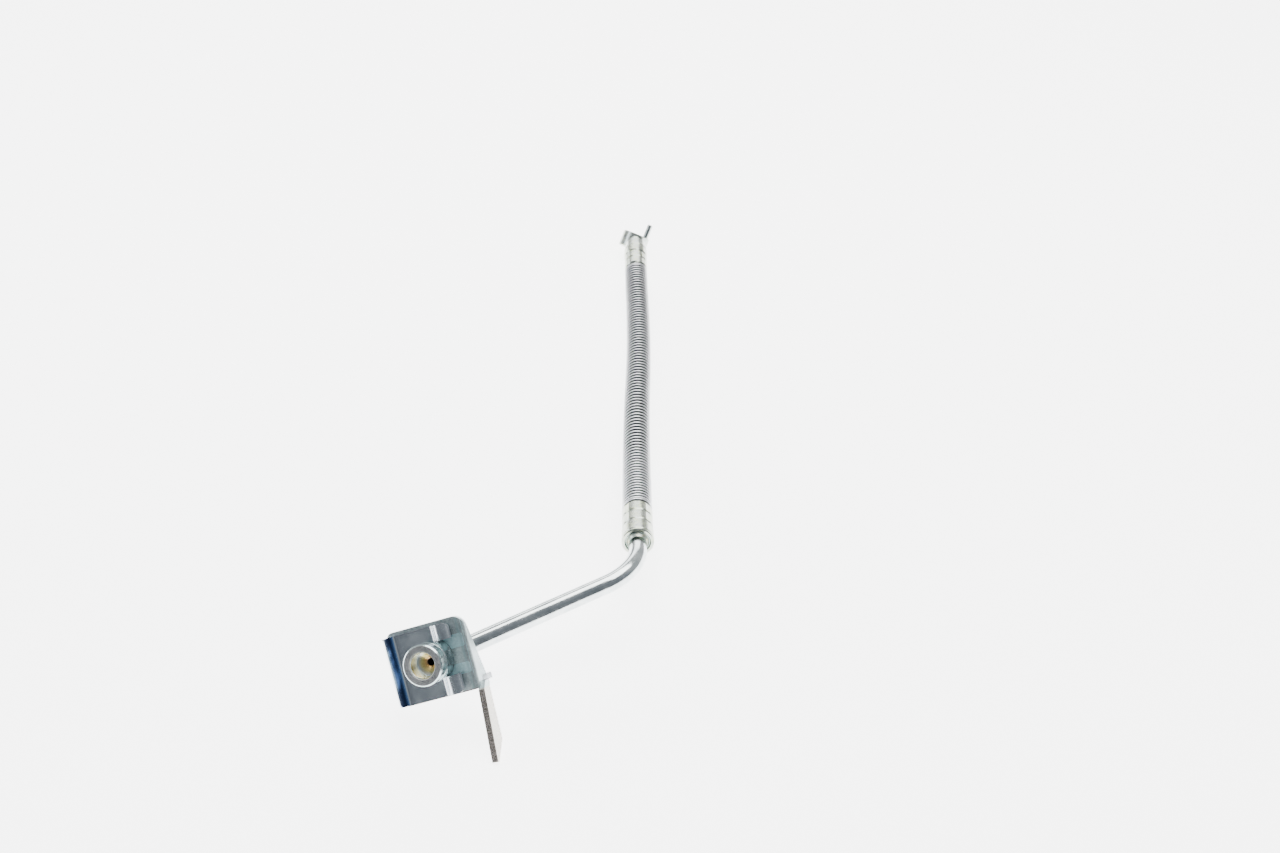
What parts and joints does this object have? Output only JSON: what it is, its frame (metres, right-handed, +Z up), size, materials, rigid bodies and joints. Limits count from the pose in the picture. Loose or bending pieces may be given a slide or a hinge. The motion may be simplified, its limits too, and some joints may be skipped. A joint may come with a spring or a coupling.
{
  "type": "flexible brake hose assembly",
  "caption": "Rubber hydraulic brake hose in a wound spring guard, with a bent steel tube, a clipped port fitting in a bracket and a banjo end with a locating pin.",
  "frame": {"origin": "middle of the object's footprint, on the floor it lies on", "axes": "+Z up; +Y along the hose, from the port fitting towards the banjo; +X to the right of someone looking along +Y"},
  "size_m": [0.1104, 0.4144, 0.0426],
  "materials": {
    "fitting_zinc": "satin",
    "bracket_zinc": "matte",
    "clip_steel": "polished",
    "tube_zinc": "polished",
    "ferrule_zinc": "satin",
    "guard_wire": "satin",
    "hose_rubber": "matte",
    "braid_cord": "matte",
    "braze": "satin",
    "banjo_zinc": "satin"
  },
  "bodies": {
    "hose_assembly": {"end_fitting": "fitting_zinc", "fitting_braze_ring": "braze", "bracket": "bracket_zinc", "steel_tube": "tube_zinc", "nipple_braze_ring": "braze", "near_nipple": "fitting_zinc", "near_ferrule": "ferrule_zinc", "hose_inner_tube": "hose_rubber", "hose_inner_braid": "braid_cord", "hose_cushion_layer": "hose_rubber", "hose_outer_braid": "braid_cord", "hose_cover": "hose_rubber", "spring_guard": "guard_wire", "far_ferrule": "ferrule_zinc", "far_nipple": "fitting_zinc", "banjo_braze_ring": "braze", "banjo_body": "banjo_zinc", "locating_pin": "banjo_zinc"},
    "clip": {"retaining_clip": "clip_steel"}
  },
  "joints": [
    {"name": "clip_slide", "type": "slide", "parent": "hose_assembly", "child": "clip", "axis": [-0.9353, -0.0083, -0.3539], "range_m": [0, 0.026]}
  ]
}
